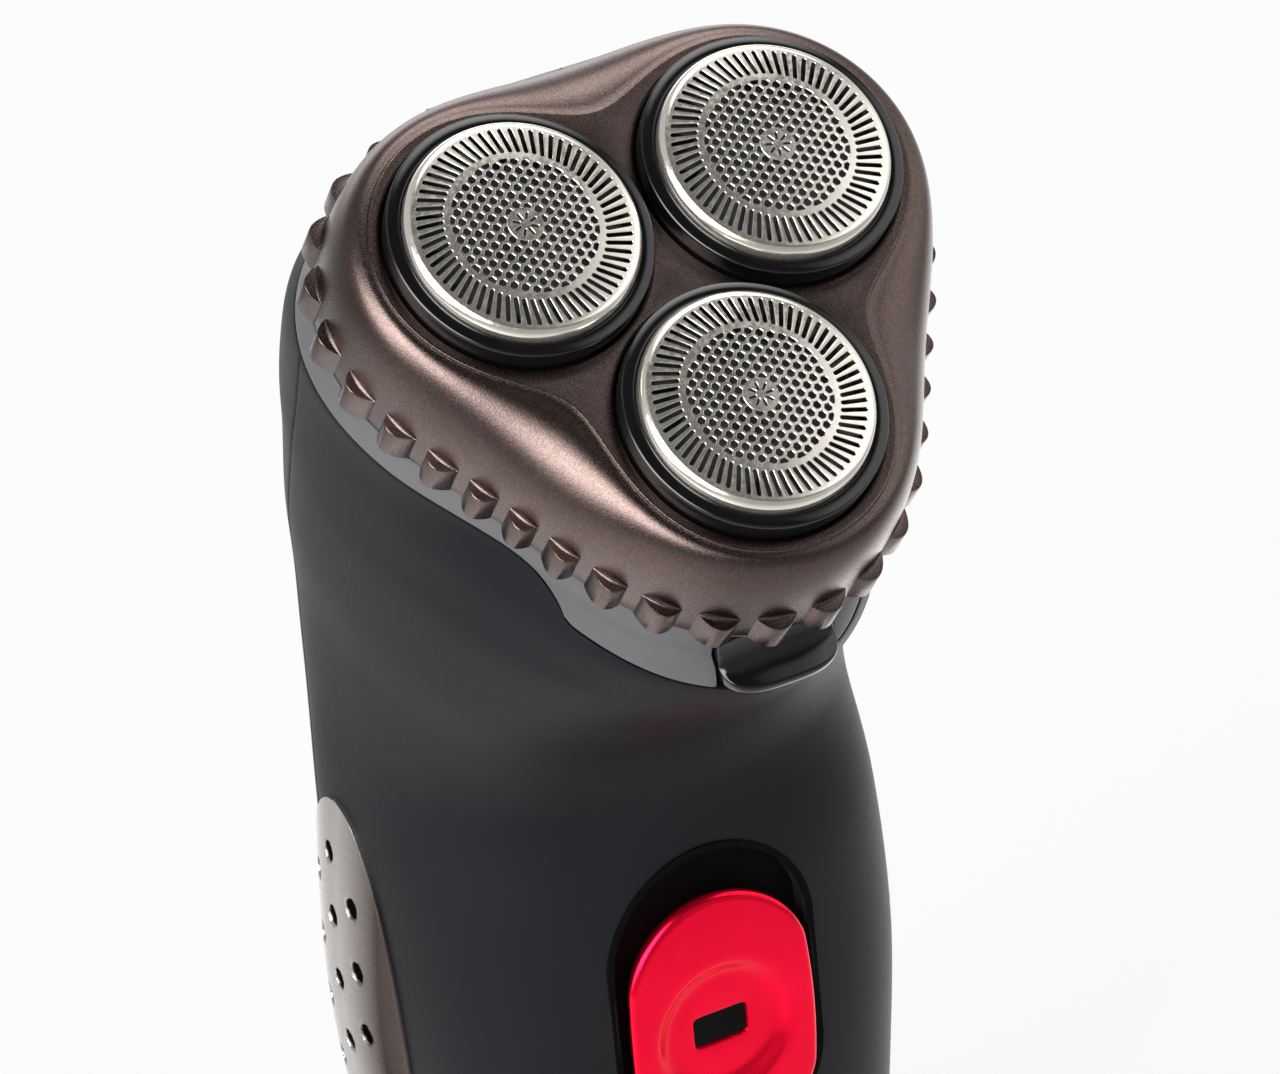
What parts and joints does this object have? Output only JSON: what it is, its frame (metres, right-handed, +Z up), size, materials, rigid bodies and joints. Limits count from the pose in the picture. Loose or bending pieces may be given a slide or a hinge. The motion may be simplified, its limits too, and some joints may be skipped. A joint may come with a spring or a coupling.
{
  "type": "rotary electric shaver",
  "caption": "Cordless rotary shaver: tilted trefoil head with floating round metal guards and a ribbed bronze rim, grey collar, release button, soft black waisted handle, red slide switch.",
  "frame": {"origin": "middle of the flat foot the handle stands on", "axes": "+Z up the handle, -Y to the front where the switch and the tilted head face, +X to the right seen from behind the front"},
  "size_m": [0.0606, 0.0752, 0.1599],
  "materials": {
    "bronze_cover": "bronze-brown metallic lacquer, satin gloss",
    "black_gloss": "polished black",
    "guard_metal": "warm polished metal",
    "cutter_steel": "ground steel",
    "pale_plastic": "moulded acetal, natural",
    "dark_plastic": "moulded black",
    "collar_grey": "satin grey",
    "soft_black": "soft-touch black",
    "grip_bronze": "satin bronze-silver lacquer",
    "red_slider": "red metallic lacquer, glossy",
    "smoked_window": "smoked clear plastic over black",
    "bright_steel": "plain steel",
    "copper_rotor": "enamelled copper winding",
    "brass_pinion": "machined",
    "grey_plastic": "moulded grey",
    "board_green": "solder mask",
    "cell_wrap": "shrink wrap"
  },
  "bodies": {
    "handle": {"neck_collar": "collar_grey", "drive_deck": "pale_plastic", "gearbox_plate": "pale_plastic", "motor_can": "bright_steel", "motor_end_cap": "dark_plastic", "front_shell": "soft_black", "rear_shell": "soft_black", "left_grip": "grip_bronze", "right_grip": "grip_bronze", "switch_track": "black_gloss", "micro_switch": "grey_plastic", "circuit_board": "board_green", "inner_chassis": "grey_plastic", "battery": "cell_wrap", "battery_tabs": "bright_steel", "foot_cap": "dark_plastic", "inlet_socket": "dark_plastic", "inlet_pins": "bright_steel", "hinge_pin": "bright_steel", "deck_screws": "bright_steel", "foot_screws": "bright_steel", "button_spring": "bright_steel"},
    "head": {"head_cover": "bronze_cover", "cutter_frame": "dark_plastic"},
    "knob": {"lock_knob": "dark_plastic"},
    "rotor": {"motor_rotor": "copper_rotor", "pinion": "brass_pinion"},
    "switch": {"switch_slider": "red_slider", "slider_window": "smoked_window", "slider_tongue": "dark_plastic"},
    "button": {"release_button": "black_gloss"},
    "float_1": {"guard_ring_1": "black_gloss", "guard_foil_1": "guard_metal"},
    "cutting_1": {"cutter_1": "cutter_steel", "cutter_hub_1": "pale_plastic"},
    "drive_1": {"drive_gear_1": "pale_plastic", "drive_spindle_1": "bright_steel", "spindle_spring_1": "bright_steel"},
    "float_2": {"guard_ring_2": "black_gloss", "guard_foil_2": "guard_metal"},
    "cutting_2": {"cutter_2": "cutter_steel", "cutter_hub_2": "pale_plastic"},
    "drive_2": {"drive_gear_2": "pale_plastic", "drive_spindle_2": "bright_steel", "spindle_spring_2": "bright_steel"},
    "float_3": {"guard_ring_3": "black_gloss", "guard_foil_3": "guard_metal"},
    "cutting_3": {"cutter_3": "cutter_steel", "cutter_hub_3": "pale_plastic"},
    "drive_3": {"drive_gear_3": "pale_plastic", "drive_spindle_3": "bright_steel", "spindle_spring_3": "bright_steel"}
  },
  "joints": [
    {"name": "head_hinge", "type": "hinge", "parent": "handle", "child": "head", "pos_m": [0, 0.00169, 0.15256], "axis": [-1, 0, 0], "range_deg": [0, 95]},
    {"name": "knob_turn", "type": "hinge", "parent": "head", "child": "knob", "pos_m": [0, -0.02308, 0.13945], "axis": [0, -0.6293, 0.7771], "range_deg": [0, 90]},
    {"name": "motor_spin", "type": "hinge", "parent": "handle", "child": "rotor", "pos_m": [0, -0.01112, 0.12469], "axis": [0, -0.6293, 0.7771], "continuous": true},
    {"name": "switch_slide", "type": "slide", "parent": "handle", "child": "switch", "axis": [0, 0, 1], "range_m": [0, 0.004]},
    {"name": "button_press", "type": "slide", "parent": "handle", "child": "button", "axis": [0, 0.7771, 0.6293], "range_m": [0, 0.0012], "stiffness_N_per_m": 1500},
    {"name": "head_float_1", "type": "slide", "parent": "head", "child": "float_1", "axis": [0, 0.6293, -0.7771], "range_m": [0, 0.0015], "stiffness_N_per_m": 800},
    {"name": "cutter_spin_1", "type": "hinge", "parent": "float_1", "child": "cutting_1", "pos_m": [0, -0.0404, 0.13701], "axis": [0, -0.6293, 0.7771], "continuous": true},
    {"name": "gear_spin_1", "type": "hinge", "parent": "handle", "child": "drive_1", "pos_m": [0, -0.02655, 0.11991], "axis": [0, -0.6293, 0.7771], "continuous": true},
    {"name": "head_float_2", "type": "slide", "parent": "head", "child": "float_2", "axis": [0, 0.6293, -0.7771], "range_m": [0, 0.0015], "stiffness_N_per_m": 800},
    {"name": "cutter_spin_2", "type": "hinge", "parent": "float_2", "child": "cutting_2", "pos_m": [-0.01299, -0.02291, 0.15117], "axis": [0, -0.6293, 0.7771], "continuous": true},
    {"name": "gear_spin_2", "type": "hinge", "parent": "handle", "child": "drive_2", "pos_m": [-0.01299, -0.00907, 0.13407], "axis": [0, -0.6293, 0.7771], "continuous": true},
    {"name": "head_float_3", "type": "slide", "parent": "head", "child": "float_3", "axis": [0, 0.6293, -0.7771], "range_m": [0, 0.0015], "stiffness_N_per_m": 800},
    {"name": "cutter_spin_3", "type": "hinge", "parent": "float_3", "child": "cutting_3", "pos_m": [0.01299, -0.02291, 0.15117], "axis": [0, -0.6293, 0.7771], "continuous": true},
    {"name": "gear_spin_3", "type": "hinge", "parent": "handle", "child": "drive_3", "pos_m": [0.01299, -0.00907, 0.13407], "axis": [0, -0.6293, 0.7771], "continuous": true}
  ],
  "couplings": [
    {"joint": "gear_spin_1", "follows": "motor_spin", "ratio": -0.25},
    {"joint": "cutter_spin_1", "follows": "motor_spin", "ratio": -0.25},
    {"joint": "gear_spin_2", "follows": "motor_spin", "ratio": -0.25},
    {"joint": "cutter_spin_2", "follows": "motor_spin", "ratio": -0.25},
    {"joint": "gear_spin_3", "follows": "motor_spin", "ratio": -0.25},
    {"joint": "cutter_spin_3", "follows": "motor_spin", "ratio": -0.25}
  ]
}
